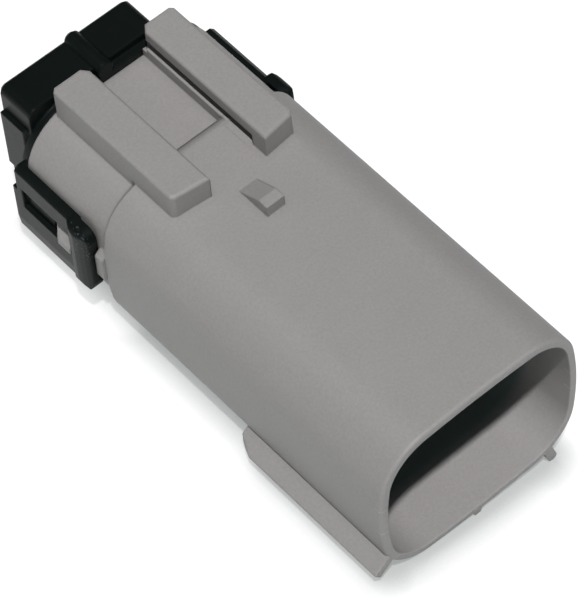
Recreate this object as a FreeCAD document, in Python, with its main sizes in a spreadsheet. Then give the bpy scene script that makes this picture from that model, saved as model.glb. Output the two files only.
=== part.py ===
import FreeCAD, Part
import math
import os
import Sketcher
from FreeCAD import Vector

# Blade half of a sealed eight-way wire connector.
# The origin is the centre of the mating mouth. +Y runs back to the wire end, +Z is up.
# All lengths are in millimetres.

SIZES = [
    ("body_width", 25.0, "outer width of the shroud"),
    ("body_height", 20.0, "outer height of the shroud"),
    ("crown_radius", 104.0, "gentle arc of the top and the underside"),
    ("flank_radius", 32.0, "arc of the two sides"),
    ("corner_radius", 5.9, "arc that joins crown and flank"),
    ("body_length", 40.4, "mouth to the step behind the rails' fronts"),
    ("tail_length", 12.35, "length of the slightly smaller rear section"),
    ("tail_inset", 0.5, "how far the rear section lies inside the shroud's outline"),
    ("tail_corner", 1.0, "how much fuller the rear section's corner arcs are"),
    ("shroud_wall", 0.93, "wall of the shroud"),
    ("rim_round", 0.35, "rounding of the mouth's outer edge"),
    ("step_bevel", 0.1, "bevel of the step's outer edge"),
    ("seal_wall", 1.9, "wall of the rear section round the wire seal"),
    ("seal_pocket", 9.0, "depth of the wire seal's pocket"),
    ("pitch", 3.5, "spacing of the terminals in a row"),
    ("row_gap", 5.6, "spacing of the two rows"),
    ("row_count", 4, "terminals in a row"),
    ("chamber", 2.6, "side of a terminal's square chamber"),
    ("chamber_stop", 1.5, "front wall that a terminal seats on"),
    ("slot_clear", 0.08, "clearance of a blade in its slot, each side"),
    ("bury", 0.6, "how far a joined form starts inside the wall that carries it"),
    ("cut_past", 0.5, "how far a cut runs past the face that it opens"),
    ("tongue_width", 12.6, "width of the retainer's tongue"),
    ("tongue_height", 1.7, "thickness of the retainer's tongue"),
    ("tongue_length", 8.0, "reach of the tongue into the block"),
    ("run_clear", 0.06, "sliding clearance of the retainer, each side"),
    ("seat_clear", 0.03, "clearance of pieces that seat on each other"),
    ("rail_inner", 3.55, "middle of the part to the right rail's inner face"),
    ("left_inner", 3.35, "middle of the part to the left rail's inner face"),
    ("rail_outer", 7.65, "middle of the part to a rail's outer face"),
    ("rail_lead", 6.45, "how far a rail's front inner corner lies ahead of the step"),
    ("rail_sweep", 0.5, "how far a rail's front outer corner lies behind it"),
    ("rail_height", 2.9, "height of a rail above the crown"),
    ("rail_round", 0.35, "rounding of a rail's edges"),
    ("rail_nose", 0.4, "cut of a rail's corners in plan"),
    ("lip_height", 1.45, "thickness of the lip over the clip groove"),
    ("groove_depth", 1.0, "reach of the clip groove under the lip"),
    ("crown_sink", 0.08, "how far the crown's arc has dropped at the groove"),
    ("groove_lead", 4.4, "how far the groove's closed end lies ahead of the step"),
    ("channel_lead", 0.3, "step back to the sunk floor's front"),
    ("channel_round", 0.25, "rounding of the edge there"),
    ("channel_drop", 1.5, "depth of the sunk floor below the crown"),
    ("wedge_width", 2.2, "width of the lock wedge"),
    ("wedge_front", 28.4, "mouth to the wedge's upright face"),
    ("wedge_land", 1.2, "length of the wedge's flat top"),
    ("wedge_ramp", 3.0, "length of the wedge's slope"),
    ("wedge_height", 1.45, "height of the wedge above the crown"),
    ("fin_length", 20.4, "length of the keying fin"),
    ("fin_reach", 2.35, "how far the fin stands out of the corner"),
    ("fin_thick", 0.95, "thickness of the fin"),
    ("fin_angle", 41.0, "slope of the fin below the horizontal, degrees"),
    ("fin_inset", 0.65, "how far the fin's upper root lies inside the widest side"),
    ("fin_rise", 4.1, "lowest underside up to the fin's upper root"),
    ("fin_run_in", 2.1, "length of the fin's slanted rear corner"),
    ("fin_step", 1.0, "reach of the fin where that corner starts"),
    ("key_inset", 3.55, "widest side in to the rounded key"),
    ("key_thick", 1.05, "thickness of the rounded key"),
    ("key_reach", 1.15, "how far the rounded key reaches below the underside"),
    ("key_angle", 18.0, "lean of the rounded key from upright, degrees"),
    ("key_root", 1.6, "lowest underside up to the rounded key's root"),
    ("bead_x", 0.6, "middle of the part to the low bead, towards the fin"),
    ("bead_width", 1.3, "width of the low bead"),
    ("bead_height", 0.32, "height of the low bead"),
    ("catch_play", 0.15, "gap from the catch to the latch round it"),
    ("catch_length", 3.3, "length of the catch at its root"),
    ("catch_ramp", 1.4, "length of the slope behind the catch"),
    ("catch_slant", 1.9, "height of the catch's slanted upper face"),
    ("catch_proud", 1.3, "how far the catch stands out of the rear section"),
    ("guard_length", 1.15, "length of the guard ahead of a latch"),
    ("guard_height", 4.5, "height of the guard"),
    ("guard_proud", 0.75, "how far the guard stands out of the rear section"),
    ("collar_thick", 0.95, "thickness of the cap's collar"),
    ("collar_inset", 0.1, "how far the collar lies inside the rear section's outline"),
    ("hood_length", 5.65, "length of the cap's hood behind the housing"),
    ("hood_inset", 2.4, "how far the hood's sides lie inside the shroud's"),
    ("hood_bevel", 0.3, "bevel of the hood's rear edges"),
    ("hood_round", 0.95, "rounding of the hood's long edges"),
    ("hood_shelf_x", 6.3, "middle of the part to the hood's right shoulder"),
    ("hood_shelf_drop", 6.2, "how far the right shoulder lies below the crown"),
    ("hood_rise", 0.25, "height of the hood above the crown"),
    ("pad_top", 7.0, "axis up to the top of the pad on the hood's side"),
    ("pad_height", 8.0, "height of that pad"),
    ("pad_length", 4.0, "length of that pad"),
    ("pad_proud", 0.5, "how far that pad stands out of the hood's side"),
    ("rib_x", 1.0, "middle of the part to the hood's round rib"),
    ("rib_width", 1.9, "width of the hood's round rib"),
    ("rib_rise", 1.05, "height of the round rib above the crown"),
    ("wire_hole", 2.7, "diameter of a wire's way through the cap"),
    ("plug_depth", 2.8, "reach of the cap into the seal's pocket"),
    ("arm_gap", 0.1, "gap between a latch arm and the rear section"),
    ("arm_thick", 0.8, "thickness of a latch arm"),
    ("arm_top", 4.35, "axis up to a latch's upper edge"),
    ("arm_bottom", 5.75, "axis down to a latch's lower edge"),
    ("upper_arm", 2.85, "height of a latch's upper arm"),
    ("lower_arm", 4.3, "height of a latch's lower arm"),
    ("arm_round", 0.5, "bevel along the top of a latch's upper arm"),
    ("arm_crease", 4.1, "axis down to the crease of a latch's lower arm"),
    ("arm_draft", 0.2, "how far the lower arm leans in below its crease"),
    ("web_thick", 0.25, "thickness of the web between a latch's arms"),
    ("arm_lean", 0.25, "how far the upper arm's inner face leans in to its top"),
    ("bar_setback", 1.3, "step back to the front of a latch's bar"),
    ("bar_length", 3.2, "length of a latch's bar"),
    ("bar_thick", 1.65, "thickness of a latch's bar"),
    ("bar_over", 0.2, "how far the bar rises above the upper arm"),
    ("bar_bottom", 4.4, "axis down to the bar's lower end"),
    ("bar_round", 1.0, "rounding of the bar's ends"),
    ("bar_bow", 0.5, "how far the bar's outer face falls back at its front"),
    ("bar_ease", 1.2, "rounding of the bar's front at its ends"),
    ("root_length", 0.75, "length of a latch's root behind the housing"),
    ("heel_length", 1.45, "length of the root's thicker lower part"),
    ("heel_top", 0.8, "axis up to the top of that part"),
    ("seal_length", 6.0, "thickness of the wire seal"),
    ("seal_relief", 0.35, "how far the seal's lands lie inside its ribs"),
    ("seal_rib", 0.9, "width of a sealing rib"),
    ("seal_hole", 1.7, "diameter of a wire's way through the seal"),
    ("plate_thick", 2.2, "thickness of the retainer's plate"),
    ("plate_bevel", 0.3, "bevel of the plate's front edge"),
    ("blade_width", 1.5, "width of a terminal's blade"),
    ("blade_thick", 0.8, "thickness of a terminal's blade"),
    ("blade_reach", 10.0, "how far the blades stand out of the terminal block"),
    ("box_side", 2.35, "side of a terminal's folded box"),
    ("box_length", 6.4, "length of the folded box"),
    ("sheet_metal", 0.3, "thickness of the terminal's strip"),
    ("neck_length", 0.9, "necks between box, wire grip and seal grip"),
    ("grip_length", 2.6, "length of the conductor grip"),
    ("grip_height", 1.9, "height of the open wire grips"),
    ("tail_grip", 2.0, "length of the insulation grip"),
    ("grip_bend", 0.5, "bend of the grips' lower corners"),
    ("blade_point", 1.0, "length of the blade's tapered tip"),
    ("strip_lap", 0.6, "length over which blade, box and strip are joined"),
    ("lance_place", 1.4, "front of the box to the locking lance"),
    ("lance_length", 2.2, "length of the locking lance"),
    ("lance_width", 1.05, "width of the locking lance"),
    ("lance_rise", 0.12, "how far the locking lance stands out of the box"),
    ("chamber_tail", 2.72, "free length behind a terminal, up to the wire seal"),
]

doc = FreeCAD.newDocument("BladeConnector")
sheet = doc.addObject("Spreadsheet::Sheet", "Sizes")


class Size:
    """A length with the sheet formula that drives it."""

    def __init__(self, value, text=None):
        self.value = float(value)
        self.text = text or repr(float(value))

    def _join(self, other, sign, value):
        return Size(value, "(%s %s %s)" % (self.text, sign, other.text))

    def __add__(self, other):
        other = as_size(other)
        return self._join(other, "+", self.value + other.value)

    def __sub__(self, other):
        other = as_size(other)
        return self._join(other, "-", self.value - other.value)

    def __mul__(self, other):
        other = as_size(other)
        return self._join(other, "*", self.value * other.value)

    def __truediv__(self, other):
        other = as_size(other)
        return self._join(other, "/", self.value / other.value)

    def __rsub__(self, other):
        return as_size(other) - self

    def __neg__(self):
        return Size(-self.value, "(-1 * %s)" % self.text)

    __radd__ = __add__
    __rmul__ = __mul__


def as_size(value):
    return value if isinstance(value, Size) else Size(value)


def named(row, alias, value, note):
    sheet.set("A%d" % row, note)
    sheet.set("B%d" % row, str(value))
    sheet.setAlias("B%d" % row, alias)
    return Size(value, "Sizes." + alias)


class Table:
    """The driving sizes, one attribute for each row of the sheet."""


s = Table()
for row, (alias, value, note) in enumerate(SIZES, 1):
    setattr(s, alias, named(row, alias, value, note))
doc.recompute()

# Places that several pieces share.
half_width = s.body_width / 2
half_height = s.body_height / 2
tail_end = s.body_length + s.tail_length
pocket_floor = tail_end - s.seal_pocket
terminal_length = s.box_length + s.neck_length * 1.5 + s.grip_length + s.tail_grip
block_length = s.chamber_stop + s.seat_clear + terminal_length + s.chamber_tail
block_front = pocket_floor - block_length
seal_inset = s.tail_inset + s.seal_wall
columns = [(i - (s.row_count.value - 1) / 2) for i in range(int(s.row_count.value))]


def bind(thing, prop, size):
    thing.setExpression(prop, as_size(size).text)


def plane(body, role):
    return next(f for f in body.Origin.OriginFeatures if f.Role == role)


def new_body(name):
    body = doc.addObject("PartDesign::Body", name)
    body.Label = name
    return body


def sketch_on(body, name, at=0, role="XZ_Plane"):
    """A sketch on an origin plane, moved along Y, Z or X by at."""
    sk = body.newObject("Sketcher::SketchObject", name)
    sk.AttachmentSupport = [(plane(body, role), "")]
    sk.MapMode = "FlatFace"
    offset = as_size(at)
    bind(sk, "AttachmentOffset.Base.z", -offset if role == "XZ_Plane" else offset)
    return sk


def hold(sk, kind, *refs):
    """Adds a constraint whose last item is a size and binds that size."""
    size = as_size(refs[-1])
    index = sk.addConstraint(Sketcher.Constraint(kind, *refs[:-1], size.value))
    sk.setExpression("Constraints[%d]" % index, size.text)


def polygon(sk, points):
    """A closed outline whose corners are each placed from the origin."""
    points = [(as_size(u), as_size(v)) for u, v in points]
    vectors = [Vector(u.value, v.value, 0) for u, v in points]
    first = sk.GeometryCount
    total = len(points)
    for i in range(total):
        sk.addGeometry(Part.LineSegment(vectors[i], vectors[(i + 1) % total]), False)
    for i in range(total):
        sk.addConstraint(Sketcher.Constraint("Coincident", first + i, 2, first + (i + 1) % total, 1))
    for i, (u, v) in enumerate(points):
        hold(sk, "DistanceX", -1, 1, first + i, 1, u)
        hold(sk, "DistanceY", -1, 1, first + i, 1, v)


def rectangle(sk, low_u, high_u, low_v, high_v):
    polygon(sk, [(low_u, low_v), (high_u, low_v), (high_u, high_v), (low_u, high_v)])


def circle(sk, u, v, diameter):
    u, v, diameter = as_size(u), as_size(v), as_size(diameter)
    ring = Part.Circle(Vector(u.value, v.value, 0), Vector(0, 0, 1), diameter.value / 2)
    index = sk.addGeometry(ring, False)
    hold(sk, "Diameter", index, diameter)
    hold(sk, "DistanceX", -1, 1, index, 3, u)
    hold(sk, "DistanceY", -1, 1, index, 3, v)


def corner_centre(crown, flank, corner, crown_z, flank_x):
    """The point that lies crown - corner and flank - corner from the two arcs' centres."""
    top, side = Vector(0, crown_z, 0), Vector(flank_x, 0, 0)
    reach, other = crown - corner, flank - corner
    span = side - top
    length = span.Length
    along = (reach ** 2 - other ** 2 + length ** 2) / (2 * length)
    across = math.sqrt(reach ** 2 - along ** 2)
    unit = span / length
    return top + unit * along + Vector(unit.y, -unit.x, 0) * across


def oval(sk, inset=0, fuller=0):
    """The shroud's outline of eight tangent arcs, moved inwards by inset, its corner arcs fuller."""
    inset = as_size(inset)
    crown, flank = s.crown_radius - inset, s.flank_radius - inset
    corner = s.corner_radius - inset + as_size(fuller)
    crown_z = half_height - s.crown_radius
    flank_x = half_width - s.flank_radius
    mid = corner_centre(crown.value, flank.value, corner.value, crown_z.value, flank_x.value)
    lean = math.atan2(mid.x, mid.y - crown_z.value)
    rise = math.atan2(mid.y, mid.x - flank_x.value)
    turn = math.pi / 2
    arcs = []
    for quarter, (sx, sz) in enumerate([(1, 1), (-1, 1), (-1, -1), (1, -1)]):
        low, high = sorted([rise, turn - lean])
        if sx * sz < 0:
            low, high = turn - high, turn - low
        start = quarter * turn
        arcs.append((Vector(sx * mid.x, sz * mid.y, 0), corner.value, start + low, start + high))
    faces = [(Vector(0, crown_z.value, 0), crown.value, turn - lean, turn + lean),
             (Vector(-flank_x.value, 0, 0), flank.value, 2 * turn - rise, 2 * turn + rise),
             (Vector(0, -crown_z.value, 0), crown.value, 3 * turn - lean, 3 * turn + lean),
             (Vector(flank_x.value, 0, 0), flank.value, -rise, rise)]
    ring = []
    for a, b in zip(arcs, faces):
        ring += [a, b]
    first = sk.GeometryCount
    for centre, radius, start, end in ring:
        arc = Part.ArcOfCircle(Part.Circle(centre, Vector(0, 0, 1), radius), start, end)
        sk.addGeometry(arc, False)
    for i in range(8):
        sk.addConstraint(Sketcher.Constraint("Tangent", first + i, 2, first + (i + 1) % 8, 1))
    hold(sk, "Radius", first, corner)
    for i in (2, 4, 6):
        sk.addConstraint(Sketcher.Constraint("Equal", first, first + i))
    for i, radius in ((1, crown), (3, flank)):
        hold(sk, "Radius", first + i, radius)
        sk.addConstraint(Sketcher.Constraint("Equal", first + i, first + i + 4))
    for i, across, up in ((1, 0, crown_z), (3, -flank_x, 0), (5, 0, -crown_z), (7, flank_x, 0)):
        hold(sk, "DistanceX", -1, 1, first + i, 3, across)
        hold(sk, "DistanceY", -1, 1, first + i, 3, up)


def add(body, kind, name, sk, length, reverse=False, both=False):
    """A pad or pocket of the sketch; the volume must move the right way."""
    before = body.Shape.Volume if body.Tip else 0
    feature = body.newObject("PartDesign::" + kind, name)
    feature.Profile = sk
    bind(feature, "Length", length)
    feature.Reversed = reverse
    feature.Midplane = both
    body.Tip = feature
    doc.recompute()
    change = body.Shape.Volume - before
    if (change if kind == "Pad" else -change) < 1e-3:
        raise RuntimeError("%s %s changed the volume by %.3f" % (body.Label, name, change))
    return feature


def dress(body, kind, name, size, wanted):
    """Rounds or chamfers the body's edges that wanted() picks."""
    edges = ["Edge%d" % i for i, e in enumerate(body.Shape.Edges, 1) if wanted(e)]
    if not edges:
        raise RuntimeError("%s %s found no edge" % (body.Label, name))
    base = body.Tip
    feature = body.newObject("PartDesign::" + kind, name)
    feature.Base = (base, edges)
    bind(feature, "Radius" if kind == "Fillet" else "Size", size)
    body.Tip = feature
    doc.recompute()
    if "Invalid" in feature.State or not feature.Shape.isValid():
        raise RuntimeError("%s %s has no valid shape" % (body.Label, name))
    return feature


def near(value, size, slack=0.02):
    return abs(value - as_size(size).value) < slack


def flat_at(edge, axis, size):
    """True for an edge that lies in the plane axis = size."""
    low, high = getattr(edge.BoundBox, axis + "Min"), getattr(edge.BoundBox, axis + "Max")
    return near(low, size) and near(high, size)


# Housing: a deep oval shroud, the terminal block at its base and a rear section for the seal.
housing = new_body("housing")
sk = sketch_on(housing, "ShroudOutline")
oval(sk)
add(housing, "Pad", "Shroud", sk, s.body_length, reverse=True)
dress(housing, "Fillet", "MouthEdge", s.rim_round, lambda e: flat_at(e, "Y", 0))
dress(housing, "Chamfer", "StepEdge", s.step_bevel, lambda e: flat_at(e, "Y", s.body_length))
sk = sketch_on(housing, "TailOutline", s.body_length)
oval(sk, s.tail_inset, s.tail_corner)
add(housing, "Pad", "Tail", sk, s.tail_length, reverse=True)

# Clip rails: two bars with swept fronts, an undercut groove and a sunk floor between them.
rail_front = s.body_length - s.rail_lead
rail_root = half_height - s.bury * 2
rail_top = half_height + s.rail_height
rails = (("Left", -1, s.left_inner), ("Right", 1, s.rail_inner))
for side, sign, inner in rails:
    sk = sketch_on(housing, side + "RailOutline", rail_root, "XY_Plane")
    polygon(sk, [(inner * sign, rail_front),
                 ((s.rail_outer - s.rail_nose) * sign, rail_front + s.rail_sweep),
                 (s.rail_outer * sign, rail_front + s.rail_sweep + s.rail_nose),
                 (s.rail_outer * sign, tail_end - s.rail_nose),
                 ((s.rail_outer - s.rail_nose) * sign, tail_end),
                 ((inner + s.rail_nose * 1.6) * sign, tail_end),
                 (inner * sign, tail_end - s.rail_nose * 2)])
    add(housing, "Pad", side + "Rail", sk, rail_top - rail_root)
dress(housing, "Fillet", "RailEdges", s.rail_round, lambda e: flat_at(e, "Z", rail_top))
groove_front = s.body_length - s.groove_lead
past_end = tail_end + s.cut_past
for side, sign, inner in rails:
    sk = sketch_on(housing, side + "GrooveOutline", rail_top - s.lip_height, "XY_Plane")
    polygon(sk, [((inner - s.cut_past) * sign, groove_front),
                 ((s.rail_inner + s.groove_depth) * sign, groove_front),
                 ((s.rail_inner + s.groove_depth) * sign, past_end),
                 ((inner - s.cut_past) * sign, past_end)])
    add(housing, "Pocket", side + "Groove", sk, s.rail_height - s.lip_height + s.crown_sink)
channel_front = s.body_length + s.channel_lead
sk = sketch_on(housing, "ChannelEdgeOutline", rail_root, "XY_Plane")
rectangle(sk, -s.left_inner - s.bury, s.rail_inner + s.bury, s.body_length - s.bury, channel_front)
add(housing, "Pad", "ChannelEdge", sk, half_height - rail_root)
sk = sketch_on(housing, "ChannelOutline", half_height + s.cut_past, "XY_Plane")
rectangle(sk, -s.left_inner, s.rail_inner, channel_front, past_end)
add(housing, "Pocket", "Channel", sk, s.channel_drop + s.cut_past)
dress(housing, "Fillet", "ChannelRound", s.channel_round,
      lambda e: flat_at(e, "Z", half_height) and flat_at(e, "Y", channel_front))

# Lock wedge: an upright front face, a short flat top and a long slope behind.
sk = sketch_on(housing, "WedgeOutline", 0, "YZ_Plane")
wedge_top = half_height + s.wedge_height
wedge_root = half_height - s.bury
wedge_toe = s.wedge_front + s.wedge_land + s.wedge_ramp
polygon(sk, [(s.wedge_front, wedge_root), (s.wedge_front, wedge_top),
             (s.wedge_front + s.wedge_land, wedge_top), (wedge_toe, half_height), (wedge_toe, wedge_root)])
add(housing, "Pad", "Wedge", sk, s.wedge_width, both=True)

# Keys under the shroud: a slanted fin on one corner, a rounded key on the other, a low bead.
lean = math.radians(s.fin_angle.value)
out = Vector(-math.cos(lean), -math.sin(lean), 0)
down = Vector(math.sin(lean), -math.cos(lean), 0)
root = (s.fin_inset - half_width, s.fin_rise - half_height)


def from_root(reach, drop):
    """A corner of the fin, reach outwards and drop across it from its upper root."""
    u = root[0] + as_size(reach) * out.x + as_size(drop) * down.x
    v = root[1] + as_size(reach) * out.y + as_size(drop) * down.y
    return u, v


sk = sketch_on(housing, "FinOutline")
polygon(sk, [from_root(-s.bury, 0), from_root(s.fin_reach, 0), from_root(s.fin_reach, s.fin_thick),
             from_root(-s.bury, s.fin_thick)])
add(housing, "Pad", "Fin", sk, s.fin_length, reverse=True)
sk = sketch_on(housing, "FinEndOutline", root[1], "XY_Plane")
fin_tip = from_root(s.fin_reach, 0)[0]
fin_bend = from_root(s.fin_step, 0)[0]
polygon(sk, [(fin_bend, s.fin_length), (fin_tip * 2 - fin_bend, s.fin_length - s.fin_run_in * 2),
             (fin_tip * 2 - fin_bend, s.fin_length + s.cut_past), (fin_bend, s.fin_length + s.cut_past)])
add(housing, "Pocket", "FinEnd", sk, s.fin_reach + s.fin_thick)

tilt = math.radians(s.key_angle.value)
sk = sketch_on(housing, "KeyOutline")
key_x = half_width - s.key_inset
key_drop = s.key_reach - s.key_thick / 2
key_tip = (key_x + key_drop * math.tan(tilt), -half_height - key_drop)
key_root = (key_x - s.key_root * math.tan(tilt), s.key_root - half_height)
side_u, side_v = s.key_thick / 2 * math.cos(tilt), s.key_thick / 2 * math.sin(tilt)
polygon(sk, [(key_root[0] - side_u, key_root[1] - side_v), (key_tip[0] - side_u, key_tip[1] - side_v),
             (key_tip[0] + side_u, key_tip[1] + side_v), (key_root[0] + side_u, key_root[1] + side_v)])
add(housing, "Pad", "Key", sk, s.fin_length, reverse=True)
sk = sketch_on(housing, "KeyTipOutline")
circle(sk, key_tip[0], key_tip[1], s.key_thick)
add(housing, "Pad", "KeyTip", sk, s.fin_length, reverse=True)
sk = sketch_on(housing, "BeadOutline")
bead_low, bead_root = -half_height - s.bead_height, s.bury / 2 - half_height
polygon(sk, [(-s.bead_x - s.bead_width / 2, bead_root), (-s.bead_x - s.bead_width / 4, bead_low),
             (-s.bead_x + s.bead_width / 4, bead_low), (-s.bead_x + s.bead_width / 2, bead_root)])
add(housing, "Pad", "Bead", sk, s.fin_length, reverse=True)

# Catches that hold the cap's latches, each with a guard ahead of the latch's bar.
flank = half_width - s.tail_inset
buried = flank - s.bury
bar_front = s.body_length + s.bar_setback
bar_back = bar_front + s.bar_length
window_low = s.lower_arm - s.arm_bottom
window_high = s.arm_top - s.upper_arm
catch_front = bar_back + s.catch_play
catch_back = catch_front + s.catch_length
catch_out = flank + s.catch_proud
guard_out = flank + s.guard_proud
guard_mid = (window_low + window_high) / 2
for side, sign in (("Left", -1), ("Right", 1)):
    sk = sketch_on(housing, side + "CatchOutline", catch_front)
    top, low = window_high - s.catch_play, window_low + s.catch_play
    polygon(sk, [(buried * sign, top), (flank * sign, top), (catch_out * sign, top - s.catch_slant),
                 (catch_out * sign, low), (buried * sign, low)])
    add(housing, "Pad", side + "Catch", sk, s.catch_length, reverse=True)
    sk = sketch_on(housing, side + "CatchRampOutline", top, "XY_Plane")
    polygon(sk, [(flank * sign, catch_back + s.cut_past), (flank * sign, catch_back),
                 (catch_out * sign, catch_back - s.catch_ramp),
                 ((catch_out + s.cut_past) * sign, catch_back - s.catch_ramp),
                 ((catch_out + s.cut_past) * sign, catch_back + s.cut_past)])
    add(housing, "Pocket", side + "CatchRamp", sk, top - low)
    sk = sketch_on(housing, side + "GuardOutline", s.body_length)
    top, low = guard_mid + s.guard_height / 2, guard_mid - s.guard_height / 2
    polygon(sk, [(buried * sign, top), ((flank - s.catch_play) * sign, top),
                 (guard_out * sign, top - s.guard_proud), (guard_out * sign, low + s.guard_proud),
                 ((flank - s.catch_play) * sign, low), (buried * sign, low)])
    add(housing, "Pad", side + "Guard", sk, s.guard_length, reverse=True)

# Shroud cavity, seal pocket, terminal chambers, blade slots and the retainer tongue's slot.
sk = sketch_on(housing, "CavityOutline")
oval(sk, s.shroud_wall)
add(housing, "Pocket", "Cavity", sk, block_front)
sk = sketch_on(housing, "SealPocketOutline", tail_end)
oval(sk, seal_inset)
add(housing, "Pocket", "SealPocket", sk, s.seal_pocket, reverse=True)
half = s.chamber / 2
slot_half, slot_up = s.blade_width / 2 + s.slot_clear, s.blade_thick / 2 + s.slot_clear
for name, row in (("Upper", 1), ("Lower", -1)):
    level = s.row_gap / 2 * row
    for kind, across, up, reach in (("Chamber", half, half, block_length - s.chamber_stop),
                                    ("Slot", slot_half, slot_up, block_length + s.cut_past)):
        sk = sketch_on(housing, name + kind + "Outline", pocket_floor)
        for i in columns:
            rectangle(sk, s.pitch * i - across, s.pitch * i + across, level - up, level + up)
        add(housing, "Pocket", name + kind, sk, reach, reverse=True)
sk = sketch_on(housing, "TongueSlotOutline", block_front)
tongue_half, tongue_up = s.tongue_width / 2, s.tongue_height / 2
rectangle(sk, -tongue_half - s.run_clear, tongue_half + s.run_clear,
          -tongue_up - s.run_clear, tongue_up + s.run_clear)
add(housing, "Pocket", "TongueSlot", sk, s.tongue_length + s.run_clear * 4)

# Cap: a collar on the housing's rear face, a hood over the wires and two latch loops.
rear_cap = new_body("rear_cap")
hood_start = tail_end + s.seat_clear
sk = sketch_on(rear_cap, "CollarOutline", hood_start)
oval(sk, s.tail_inset + s.collar_inset, s.tail_corner)
add(rear_cap, "Pad", "Collar", sk, s.collar_thick, reverse=True)
hood_top = half_height + s.hood_rise
hood_low = s.tail_inset - half_height
hood_half = half_width - s.hood_inset
hood_end = hood_start + s.hood_length
hood_front = hood_start + s.collar_thick - s.collar_inset
sk = sketch_on(rear_cap, "HoodOutline", hood_front)
shelf = half_height - s.hood_shelf_drop
polygon(sk, [(-hood_half, hood_low), (hood_half, hood_low), (hood_half, shelf),
             (s.hood_shelf_x, shelf), (s.hood_shelf_x, hood_top), (-hood_half, hood_top)])
add(rear_cap, "Pad", "Hood", sk, hood_end - hood_front, reverse=True)


def hood_corner(edge):
    """True for the hood's long outer edges, which leave out the inner one at its shoulder."""
    box = edge.BoundBox
    along = near(box.XMin, box.XMax) and near(box.ZMin, box.ZMax) and near(box.YMax, hood_end)
    return along and not (near(box.XMin, s.hood_shelf_x) and near(box.ZMin, shelf))


dress(rear_cap, "Fillet", "HoodCorners", s.hood_round, hood_corner)
sk = sketch_on(rear_cap, "RibOutline", hood_start)
circle(sk, -s.rib_x, half_height + s.rib_rise - s.rib_width / 2, s.rib_width)
add(rear_cap, "Pad", "Rib", sk, s.hood_length, reverse=True)
sk = sketch_on(rear_cap, "PlugOutline", hood_start + s.collar_thick / 2)
oval(sk, seal_inset + s.seat_clear * 2)
add(rear_cap, "Pad", "Plug", sk, s.collar_thick / 2 + s.seat_clear + s.plug_depth)

# Shares of the bow inwards and of the bar's length backwards along the bar's outer face.
BOW = ((1, 0), (0.5, 0.15), (0.15, 0.35), (0, 0.55), (0.3, 0.8), (1.1, 1))

# Latch loops: two arms from the root to a bowed finger bar, with a thin web between them.
arm_in = flank + s.arm_gap
arm_out = arm_in + s.arm_thick
bar_out = arm_in + s.bar_thick
bar_top = s.arm_top + s.bar_over
bar_low = -s.bar_bottom
arm_length = hood_start + s.root_length - bar_back + s.bury
corner_steps = [math.pi / 2 * i / 4 for i in range(5)]
bar_corner = [(1 - math.cos(a), 1 - math.sin(a)) for a in corner_steps]
for side, sign in (("Left", -1), ("Right", 1)):
    inner, outer, root_in = arm_in * sign, arm_out * sign, (arm_in - s.bury * 2) * sign
    above = [(outer, s.arm_top - s.arm_round), ((arm_out - s.arm_round) * sign, s.arm_top)]
    below = [((arm_out - s.arm_draft) * sign, -s.arm_bottom), (outer, -s.arm_crease)]
    sk = sketch_on(rear_cap, side + "RootOutline", hood_start)
    polygon(sk, below + above + [(root_in, s.arm_top), (root_in, -s.arm_bottom)])
    add(rear_cap, "Pad", side + "Root", sk, s.root_length, reverse=True)
    sk = sketch_on(rear_cap, side + "HeelOutline", hood_start)
    polygon(sk, below + [(outer, s.heel_top), (root_in, s.heel_top), (root_in, -s.arm_bottom)])
    add(rear_cap, "Pad", side + "Heel", sk, s.heel_length, reverse=True)
    sk = sketch_on(rear_cap, side + "UpperArmOutline", bar_back - s.bury)
    polygon(sk, [(inner, window_high), (outer, window_high)] + above
            + [((arm_in - s.arm_lean) * sign, s.arm_top)])
    add(rear_cap, "Pad", side + "UpperArm", sk, arm_length, reverse=True)
    sk = sketch_on(rear_cap, side + "LowerArmOutline", bar_back - s.bury)
    polygon(sk, below + [(outer, window_low), (inner, window_low), (inner, -s.arm_bottom)])
    add(rear_cap, "Pad", side + "LowerArm", sk, arm_length, reverse=True)
    sk = sketch_on(rear_cap, side + "WebOutline", window_low - s.bury, "XY_Plane")
    web_out = (arm_in + s.web_thick) * sign
    polygon(sk, [(inner, catch_back + s.catch_play), (web_out, catch_back + s.catch_play),
                 (web_out, hood_start + s.root_length), (inner, hood_start + s.root_length)])
    add(rear_cap, "Pad", side + "Web", sk, window_high - window_low + s.bury * 2)
    sk = sketch_on(rear_cap, side + "BarOutline", bar_front)
    upper = [((bar_out - s.bar_round * x) * sign, bar_top - s.bar_round * z) for x, z in bar_corner]
    lower = [((bar_out - s.bar_round * x) * sign, bar_low + s.bar_round * z) for x, z in bar_corner[::-1]]
    polygon(sk, [(inner, bar_low)] + lower + upper + [(inner, bar_top)])
    add(rear_cap, "Pad", side + "Bar", sk, s.bar_length, reverse=True)
    sk = sketch_on(rear_cap, side + "BarBowOutline", bar_top + s.cut_past, "XY_Plane")
    bow = [((bar_out - s.bar_bow * x) * sign, bar_front + s.bar_length * y) for x, y in BOW]
    beyond = (bar_out + s.cut_past) * sign
    polygon(sk, [(beyond, bar_front), (beyond, bar_back)] + bow[::-1])
    add(rear_cap, "Pocket", side + "BarBow", sk, bar_top - bar_low + s.cut_past * 2)
sk = sketch_on(rear_cap, "BarFrontOutline", bar_out + s.cut_past, "YZ_Plane")
for end, up in ((bar_low, 1), (bar_top, -1)):
    curve = [(bar_front + s.bar_ease * y, end + s.bar_ease * z * up) for y, z in bar_corner]
    polygon(sk, [(bar_front - s.cut_past, end - s.cut_past * up), (bar_front - s.cut_past, curve[0][1])]
            + curve + [(curve[-1][0], end - s.cut_past * up)])
add(rear_cap, "Pocket", "BarFronts", sk, (bar_out + s.cut_past) * 2)
dress(rear_cap, "Chamfer", "HoodRear", s.hood_bevel, lambda e: flat_at(e, "Y", hood_end))

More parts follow.
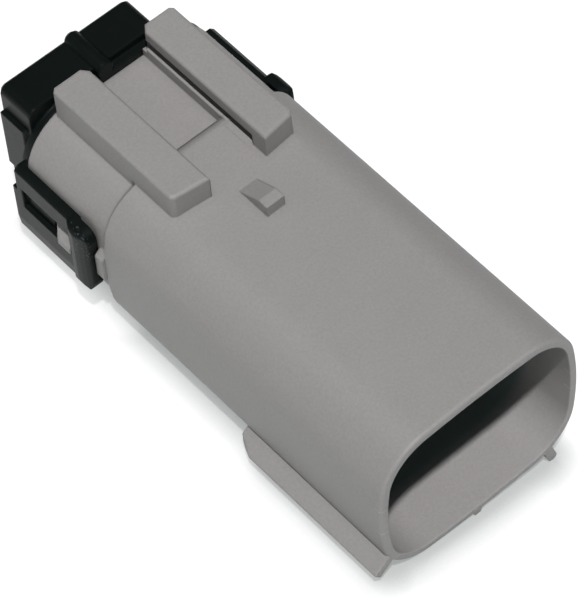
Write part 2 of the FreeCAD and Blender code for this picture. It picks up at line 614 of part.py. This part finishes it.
# A raised pad on the hood's left side.
pad_back = hood_end - s.hood_bevel * 1.5
sk = sketch_on(rear_cap, "SidePadOutline", s.pad_top - s.pad_height, "XY_Plane")
polygon(sk, [(s.bury - hood_half, pad_back - s.pad_length), (-hood_half, pad_back - s.pad_length),
             (-hood_half - s.pad_proud, pad_back - s.pad_length + s.pad_proud),
             (-hood_half - s.pad_proud, pad_back), (s.bury - hood_half, pad_back)])
add(rear_cap, "Pad", "SidePad", sk, s.pad_height)

# Ways for the eight wires through hood and plug.
for name, row in (("Upper", 1), ("Lower", -1)):
    sk = sketch_on(rear_cap, name + "WireOutline", hood_end)
    for i in columns:
        circle(sk, s.pitch * i, s.row_gap / 2 * row, s.wire_hole)
    add(rear_cap, "Pocket", name + "Wires", sk, s.hood_length + s.plug_depth + s.cut_past, reverse=True)

# Wire seal: a soft block with two sealing ribs round it and a way for each wire.
wire_seal = new_body("wire_seal")
seal_front = pocket_floor + s.seat_clear
seal_back = seal_front + s.seal_length
sk = sketch_on(wire_seal, "CoreOutline", seal_front)
oval(sk, seal_inset + s.seal_relief)
add(wire_seal, "Pad", "Core", sk, s.seal_length, reverse=True)
for name, rib_front in (("Front", seal_front + s.seal_rib), ("Rear", seal_back - s.seal_rib * 2)):
    sk = sketch_on(wire_seal, name + "RibOutline", rib_front)
    oval(sk, seal_inset + s.seat_clear * 2)
    add(wire_seal, "Pad", name + "Rib", sk, s.seal_rib, reverse=True)
sk = sketch_on(wire_seal, "WireOutline", seal_back)
for row in (1, -1):
    for i in columns:
        circle(sk, s.pitch * i, s.row_gap / 2 * row, s.seal_hole)
add(wire_seal, "Pocket", "WireWays", sk, s.seal_length + s.cut_past, reverse=True)

# Retainer: a slotted plate at the shroud's base with a tongue that blocks the terminals' locks.
retainer = new_body("retainer")
plate_back = block_front - s.seat_clear
plate_front = plate_back - s.plate_thick
sk = sketch_on(retainer, "PlateOutline", plate_front)
oval(sk, s.shroud_wall + s.run_clear)
for row in (1, -1):
    level = s.row_gap / 2 * row
    for i in columns:
        rectangle(sk, s.pitch * i - slot_half, s.pitch * i + slot_half, level - slot_up, level + slot_up)
add(retainer, "Pad", "Plate", sk, s.plate_thick, reverse=True)
sk = sketch_on(retainer, "TongueOutline", plate_back)
rectangle(sk, -tongue_half, tongue_half, -tongue_up, tongue_up)
add(retainer, "Pad", "Tongue", sk, s.tongue_length, reverse=True)
dress(retainer, "Chamfer", "PlateEdge", s.plate_bevel, lambda e: flat_at(e, "Y", plate_front)
      and e.Curve.TypeId == "Part::GeomCircle")

# Blade terminals: a flat blade, a folded box with a locking lance, and two open wire grips.
box_front = block_front + s.chamber_stop + s.seat_clear
blade_tip = block_front - s.blade_reach
blade_half = s.blade_width / 2
blade_back = box_front + s.strip_lap
box_back = box_front + s.box_length
grip_front = box_back + s.neck_length
grip_back = grip_front + s.grip_length
tail_front = grip_back + s.neck_length / 2
box_half = s.box_side / 2
terminals = []
for index in range(2 * len(columns)):
    row = 1 if index < len(columns) else -1
    x, z = s.pitch * columns[index % len(columns)], s.row_gap / 2 * row
    terminal = new_body("terminal_%d" % (index + 1))
    sk = sketch_on(terminal, "BladeOutline", z - s.blade_thick / 2, "XY_Plane")
    polygon(sk, [(x - blade_half, blade_tip + s.blade_point), (x - blade_half / 2, blade_tip),
                 (x + blade_half / 2, blade_tip), (x + blade_half, blade_tip + s.blade_point),
                 (x + blade_half, blade_back), (x - blade_half, blade_back)])
    add(terminal, "Pad", "Blade", sk, s.blade_thick)
    sk = sketch_on(terminal, "BoxOutline", box_front)
    rectangle(sk, x - box_half, x + box_half, z - box_half, z + box_half)
    add(terminal, "Pad", "Box", sk, s.box_length, reverse=True)
    sk = sketch_on(terminal, "BoxHollowOutline", box_back)
    rectangle(sk, x - box_half + s.sheet_metal, x + box_half - s.sheet_metal,
              z - box_half + s.sheet_metal, z + box_half - s.sheet_metal)
    add(terminal, "Pocket", "BoxHollow", sk, s.box_length - s.strip_lap, reverse=True)
    sk = sketch_on(terminal, "LanceOutline", x, "YZ_Plane")
    face = z - box_half * row
    inside = face + s.sheet_metal / 2 * row
    lance_front, lance_back = box_front + s.lance_place, box_front + s.lance_place + s.lance_length
    polygon(sk, [(lance_front, face), (lance_back, face - s.lance_rise * row), (lance_back, inside),
                 (lance_front, inside)])
    add(terminal, "Pad", "Lance", sk, s.lance_width, both=True)
    floor = z - box_half
    sk = sketch_on(terminal, "StripOutline", floor, "XY_Plane")
    rectangle(sk, x - blade_half, x + blade_half, box_back - s.strip_lap, tail_front + s.tail_grip)
    add(terminal, "Pad", "Strip", sk, s.sheet_metal)
    for name, start, length in (("Grip", grip_front, s.grip_length), ("TailGrip", tail_front, s.tail_grip)):
        sk = sketch_on(terminal, name + "Outline", start)
        top, bend = floor + s.grip_height, s.grip_bend
        outer, inner = box_half, box_half - s.sheet_metal
        polygon(sk, [(x - outer + bend / 2, floor), (x + outer - bend / 2, floor), (x + outer, floor + bend),
                     (x + outer, top), (x + inner, top),
                     (x + inner, floor + bend + s.sheet_metal / 3), (x + outer - bend, floor + s.sheet_metal),
                     (x - outer + bend, floor + s.sheet_metal), (x - inner, floor + bend + s.sheet_metal / 3),
                     (x - inner, top), (x - outer, top), (x - outer, floor + bend)])
        add(terminal, "Pad", name, sk, length, reverse=True)
    terminals.append(terminal)

# Check every object and piece, then write one file for each piece.
doc.recompute()
for thing in doc.Objects:
    if "Invalid" in thing.State or "Error" in thing.State:
        raise RuntimeError("%s is in state %s" % (thing.Label, thing.State))
pieces = [housing, rear_cap, wire_seal, retainer] + terminals
for piece in pieces:
    if piece.Shape.isNull() or not piece.Shape.isValid() or len(piece.Shape.Solids) != 1:
        raise RuntimeError("%s has no single valid solid" % piece.Label)
os.makedirs("parts", exist_ok=True)
for piece in pieces:
    piece.Shape.exportStep("parts/%s.step" % piece.Label)
    print(piece.Label, "%.1f mm3" % piece.Shape.Volume)
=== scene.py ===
import math

import bpy
from mathutils import Matrix, Vector

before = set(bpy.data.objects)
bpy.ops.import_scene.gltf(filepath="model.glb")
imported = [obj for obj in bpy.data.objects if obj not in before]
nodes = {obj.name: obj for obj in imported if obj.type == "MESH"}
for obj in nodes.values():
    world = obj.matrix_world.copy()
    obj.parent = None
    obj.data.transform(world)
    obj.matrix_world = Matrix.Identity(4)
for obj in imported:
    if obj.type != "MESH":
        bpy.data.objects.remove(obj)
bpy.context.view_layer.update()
MM = 0.001


# Housing: the grey shroud, its rails, keys and terminal block, moulded in one piece.
# It is a warm grey polyester with a fine eroded texture from the mould, so it is matt
# with a soft sheen at its rounded edges, where its colour is also painted paler as a painted highlight.
class Line:
    """One socket of a finish. Sums, differences and products of lines add Math nodes."""

    def __init__(self, finish, socket):
        self.finish = finish
        self.socket = socket

    def maths(self, operation, *values):
        return self.finish.node("ShaderNodeMath", {"operation": operation}, *values)

    def __add__(self, other):
        return self.maths("ADD", self, other)

    def __sub__(self, other):
        return self.maths("SUBTRACT", self, other)

    def __rsub__(self, other):
        return self.maths("SUBTRACT", other, self)

    def __mul__(self, other):
        return self.maths("MULTIPLY", self, other)

    def size(self):
        """The value without its sign."""
        return self.maths("ABSOLUTE", self)

    def below(self, limit):
        """1 where the value is below the limit, 0 elsewhere."""
        return self.maths("LESS_THAN", self, limit)

    def above(self, limit):
        """1 where the value is above the limit, 0 elsewhere."""
        return self.maths("GREATER_THAN", self, limit)

    def held(self):
        """The value kept between 0 and 1."""
        return self.finish.node("ShaderNodeClamp", {}, self)

    __radd__ = __add__
    __rmul__ = __mul__


class Finish:
    """A material whose nodes are added one by one round its Principled shader."""

    def __init__(self, name):
        self.material = bpy.data.materials.new(name)
        self.material.use_nodes = True
        self.tree = self.material.node_tree
        self.shader = self.tree.nodes["Principled BSDF"]
        self.place = self.node("ShaderNodeTexCoord", {}, out="Object")

    def node(self, kind, settings, *values, out=0, at=None, **named):
        """A new node: its settings, then its sockets' values or lines in order, by place or by name."""
        made = self.tree.nodes.new(kind)
        for key, value in settings.items():
            setattr(made, key, value)
        for key, value in [*enumerate(values), *(at or {}).items(), *named.items()]:
            self.feed(made.inputs[key], value)
        return Line(self, made.outputs[out])

    def feed(self, socket, value):
        """Links a line to the socket, or sets the socket to a value."""
        if isinstance(value, Line):
            self.tree.links.new(value.socket, socket)
        else:
            socket.default_value = value

    def give(self, **values):
        """Feeds the shader's sockets; an underscore in a name stands for a space."""
        for name, value in values.items():
            self.feed(self.shader.inputs[name.replace("_", " ")], value)

    def grain(self, size, detail):
        """Noise from 0 to 1 whose features are about size across."""
        return self.node("ShaderNodeTexNoise", {}, out="Fac",
                         Vector=self.place, Scale=1 / size, Detail=detail)

    def between(self, factor, low, high):
        """A colour from low to high. The Mix node's colour sockets are found by their place."""
        low, high = (colour if isinstance(colour, Line) else (*colour, 1) for colour in (low, high))
        return self.node("ShaderNodeMix", {"data_type": "RGBA"}, out=2, at={0: factor, 6: low, 7: high})

    def axes(self):
        """The three coordinates of a point on the piece."""
        split = self.node("ShaderNodeSeparateXYZ", {}, self.place)
        return [Line(self, socket) for socket in split.socket.node.outputs]

    def facing(self):
        """The surface's own normal."""
        return self.node("ShaderNodeNewGeometry", {}, out="Normal")

    def rounded(self, radius):
        """The surface's normal with its edges rounded to the radius."""
        return self.node("ShaderNodeBevel", {"samples": 4}, Radius=radius)

    def dot(self, one, other):
        """The product of two vectors' lengths and the cosine between them."""
        return self.node("ShaderNodeVectorMath", {"operation": "DOT_PRODUCT"}, one, other, out="Value")

    def relief(self, height, normal):
        """The normal under a relief whose height is in millimetres."""
        return self.node("ShaderNodeBump", {}, Strength=1.0, Distance=MM, Height=height, Normal=normal)


def coat(piece, finish):
    """Gives the piece this finish and no other."""
    piece.data.materials.clear()
    piece.data.materials.append(finish.material)


grey = Finish("grey moulding")
cloud = grey.grain(4 * MM, 3.0)
mottle = grey.grain(0.32 * MM, 3.0)
speck = grey.grain(0.12 * MM, 2.0)
texture_height = 0.0042
# Painted shade: the colour darkens in creases and corners where shade falls, found by an occlusion test of
# this reach.
crease_reach, crease_dark = 1.0 * MM, 0.3
painted_crease_shade = grey.node("ShaderNodeAmbientOcclusion", {"samples": 4}, out="AO", Distance=crease_reach)
edge_radius = 0.3 * MM
soft = grey.rounded(edge_radius)
edge = 1 - grey.dot(soft, grey.facing())
across, along, height = grey.axes()
# Painted shadow: a dark band painted behind the shroud's step, on the crown and the flanks of the tail, where
# the step casts its shadow.
step_at, step_half, step_shadow_dark = 40.62 * MM, 0.42 * MM, 0.75
tail_crown, tail_flank = 9.8 * MM, 12.1 * MM
beside = (along - step_at).size() * (1 / step_half)
step_shadow = (1 - beside).held() * height.below(tail_crown) * across.size().below(tail_flank)
shade = (painted_crease_shade * crease_dark + (1 - crease_dark)) * (1 - step_shadow * step_shadow_dark)
# Depth of the mouth: its walls are painted a dark green-grey, a painted shade, from a few millimetres behind
# the rim. A wall looks towards the mouth's middle line, so the product of its normal and its place isn't
# above zero.
mouth_half, mouth_high, mouth_end = 11.9 * MM, 9.4 * MM, 30 * MM
mouth_shade_from, mouth_shade_over, mouth_shade_most = 5.6 * MM, 1.6 * MM, 0.72
wall_slack = 0.5 * MM
from_middle = grey.node("ShaderNodeVectorMath", {"operation": "MULTIPLY"}, grey.place, (1, 0, 1))
outward = grey.dot(grey.facing(), from_middle)
inside = across.size().below(mouth_half) * height.size().below(mouth_high) * along.below(mouth_end)
mouth_shade = ((along - mouth_shade_from) * (1 / mouth_shade_over)).held() * inside * outward.below(wall_slack)
# Crown in front of the clip's channel: it rounds down to the channel's floor.
channel_at, channel_lead, channel_drop = 40.55 * MM, 0.8 * MM, 0.4
channel_middle, channel_half, crown_low = 0.1 * MM, 3.45 * MM, 9 * MM
run = ((along - (channel_at - channel_lead)) * (1 / channel_lead)).held()
in_line = (across - channel_middle).size().below(channel_half)
dip = run * run * in_line * along.below(channel_at) * height.above(crown_low)
# Rim: its edges and the housing's others are painted paler, a painted highlight; flash ridges cross it at
# these places of x and z.
rim_depth, rim_highlight, edge_highlight = 0.9 * MM, 4, 0.6
ridge_half, ridge_reach, ridge_height = 0.09 * MM, 1.2 * MM, 0.05
ridge_places = ((-12.0, 2.4), (-12.0, -1.3), (-10.8, -6.8), (12.0, 1.3), (12.0, -1.3))
rim = along.below(rim_depth)


def ridge(x, z):
    """A ridge of flash across the rim, from 0 at its foot to 1 along its top."""
    top = (1 - (height - z * MM).size() * (1 / ridge_half)).held()
    return top * (across - x * MM).size().below(ridge_reach) * rim


flash = sum(ridge(x, z) for x, z in ridge_places)
grey_low, grey_high = (0.225, 0.214, 0.212), (0.349, 0.334, 0.330)
highlight_and_flash_grey, crease_shade_grey, mouth_shade_grey = (0.40, 0.385, 0.375), (0.02, 0.03, 0.028), (0.070, 0.128, 0.124)
plain = grey.between(cloud * 0.10 + mottle * 0.52 + speck * 0.38, grey_low, grey_high)
# Painted highlight: the edges, the rim's most, are painted paler; the flash ridges take the same pale colour.
highlight_and_flash = grey.between((edge * (rim * rim_highlight + edge_highlight) + flash).held(), plain, highlight_and_flash_grey)
# The painted shade of the creases and of the step's shadow darkens the colour towards a near black.
shaded = grey.between(shade, crease_shade_grey, highlight_and_flash)
texture = speck * texture_height + mottle * texture_height + flash * ridge_height - dip * channel_drop
grey.give(Base_Color=grey.between(mouth_shade * mouth_shade_most, shaded, mouth_shade_grey), Roughness=0.5 + cloud * 0.1,
          Normal=grey.relief(texture, soft))
coat(nodes["housing"], grey)

# Terminals: eight stamped blades with folded boxes and open grips, tin plated.
# The plating is dull and faintly streaked.
tin = Finish("tin plate")
streak = tin.grain(0.5 * MM, 2.0)
tin.give(Base_Color=tin.between(streak, (0.55, 0.54, 0.51), (0.68, 0.67, 0.64)), Metallic=1.0,
         Roughness=0.28 + streak * 0.16)
for name in sorted(nodes):
    if name.startswith("terminal_"):
        coat(nodes[name], tin)

# Retainer: the slotted plate at the base of the shroud, with the tongue that blocks the terminals.
# It is moulded in an uncoloured plastic, a little cloudy and smoother than the housing.
natural = Finish("natural moulding")
haze = natural.grain(2 * MM, 2.0)
natural.give(Base_Color=natural.between(haze, (0.55, 0.53, 0.48), (0.62, 0.60, 0.55)), Roughness=0.45,
             Normal=natural.relief(haze * 0.004, natural.rounded(0.1 * MM)))
coat(nodes["retainer"], natural)

# Wire seal: a soft block of rust-red silicone between the terminal block and the cap.
# It is moulded with a dusty bloom on its skin.
silicone = Finish("red silicone")
bloom = silicone.grain(0.8 * MM, 3.0)
silicone.give(Base_Color=silicone.between(bloom, (0.30, 0.055, 0.02), (0.36, 0.08, 0.03)),
              Roughness=0.5 + bloom * 0.1, Normal=silicone.relief(bloom * 0.006, silicone.rounded(0.08 * MM)))
coat(nodes["wire_seal"], silicone)

# Rear cap: the black collar, hood and latch loops, moulded in one piece.
# It is a tougher black polyester whose satin faces mirror the table softly. The left latch's
# finger bar has a few pale specks painted near its top.
black = Finish("black moulding")
flow = black.grain(3 * MM, 3.0)
pores = black.grain(0.16 * MM, 2.0)
cap_across, _, cap_height = black.axes()
pale_speck_size, pale_speck_share, pale_speck_most = 0.22 * MM, 0.67, 0.6
bar_outside, bar_top = -12.9 * MM, 0.9 * MM
pale_specks = black.grain(pale_speck_size, 1.0).above(pale_speck_share) * cap_across.below(bar_outside) * cap_height.above(bar_top)
dark = black.between(flow, (0.0030, 0.0050, 0.0047), (0.0052, 0.0080, 0.0075))
black.give(Base_Color=black.between(pale_specks * pale_speck_most, dark, (0.10, 0.115, 0.115)),
           Roughness=0.36 + pores * 0.12, Specular_IOR_Level=0.13,
           Normal=black.relief(pores * 0.007 + flow * 0.04, black.rounded(0.4 * MM)))
coat(nodes["rear_cap"], black)

# Table: a plain white top, tilted as the connector lies on its key and on the low bead under its shroud.
# To the camera and in gloss it glows white, and greyer in a painted shadow where the connector hides the sky
# behind it.
# To other light it is a plain matt white.
tilt = math.atan(0.0795)
key_tip = Vector((9.27, 10.0, -11.17)) * MM
reach = 1.5
corners = [(-reach, -reach, 0), (reach, -reach, 0), (reach, reach, 0), (-reach, reach, 0)]
table = bpy.data.meshes.new("table")
table.from_pydata(corners, [], [(0, 1, 2, 3)])
table.transform(Matrix.Translation(key_tip) @ Matrix.Rotation(tilt, 4, "Y"))
table_top = bpy.data.objects.new("table", table)
bpy.context.scene.collection.objects.link(table_top)
white = Finish("white table")
white.give(Base_Color=(0.675, 0.70, 0.70, 1), Roughness=1.0, Specular_IOR_Level=0.0)
in_view = white.node("ShaderNodeLightPath", {}, out="Is Camera Ray")
in_gloss = white.node("ShaderNodeLightPath", {}, out="Is Glossy Ray")
behind = white.node("ShaderNodeCombineXYZ", {}, X=-0.06, Y=0.72, Z=0.69)
shadow_reach, shadow_gain = 3.6 * MM, 2.2
open_sky = white.node("ShaderNodeAmbientOcclusion", {"samples": 8}, out="AO",
                      Distance=shadow_reach, Normal=behind)
lit = (open_sky * shadow_gain - (shadow_gain - 1)).held()
painted_shadow_glow = white.between(lit, (0.34, 0.36, 0.353), (0.88, 0.88, 0.88))
glow = white.node("ShaderNodeEmission", {}, out="Emission", Strength=1.0, Color=painted_shadow_glow)
dim = white.node("ShaderNodeBsdfDiffuse", {}, out="BSDF", Color=(0.20, 0.20, 0.20, 1))
bright = white.node("ShaderNodeAddShader", {}, dim, glow)
plain_white = Line(white, white.shader.outputs["BSDF"])
both = white.node("ShaderNodeMixShader", {}, in_view + in_gloss, plain_white, bright)
white.feed(white.tree.nodes["Material Output"].inputs["Surface"], both)
coat(table_top, white)

# Light: a small high lamp slightly in front, a very broad weak one on the left, and a dim room.
# The high lamp is narrow, so the mouth's shadow has an edge.
for name, energy, angle, towards in (("high lamp", 3.22, 2.5, (-0.17, -0.30, 0.93)),
                                     ("left lamp", 0.14, 90, (-0.75, -0.15, 0.64))):
    lamp = bpy.data.lights.new(name, "SUN")
    lamp.energy = energy
    lamp.angle = math.radians(angle)
    lamp_place = bpy.data.objects.new(name, lamp)
    lamp_place.rotation_mode = "QUATERNION"
    lamp_place.rotation_quaternion = Vector(towards).to_track_quat("Z", "Y")
    bpy.context.scene.collection.objects.link(lamp_place)
room = bpy.data.worlds.new("room")
room.use_nodes = True
bpy.context.scene.world = room
room.node_tree.nodes["Background"].inputs["Color"].default_value = (0.86, 1.0, 0.97, 1)
room.node_tree.nodes["Background"].inputs["Strength"].default_value = 0.07

# Camera: the place from which the photograph was taken, with a long lens high on the left.
# Its direction, roll and focal length were fitted to the rim, the rails and the side edges.
azimuth, elevation, roll = math.radians(-36.2825), math.radians(54.7868), math.radians(-5.7103)
aim = Vector((-1.55, 25.25, 0)) * MM
distance = 390.77 * MM
focal_px, frame_px, sensor = 4046.58, 600, 36
level_back = math.cos(elevation)
back = Vector((math.sin(azimuth) * level_back, -math.cos(azimuth) * level_back, math.sin(elevation)))
level = Vector((math.cos(azimuth), math.sin(azimuth), 0))
rise = back.cross(level)
right = level * math.cos(roll) + rise * math.sin(roll)
up = rise * math.cos(roll) - level * math.sin(roll)
lens = bpy.data.cameras.new("camera")
lens.sensor_width = sensor
lens.lens = focal_px * sensor / frame_px
lens.clip_start, lens.clip_end = 0.01, 10
viewer = bpy.data.objects.new("camera", lens)
turn = Matrix((right, up, back)).transposed().to_4x4()
viewer.matrix_world = Matrix.Translation(aim + back * distance) @ turn
bpy.context.scene.collection.objects.link(viewer)
bpy.context.scene.camera = viewer
bpy.context.scene.view_settings.view_transform = "Standard"
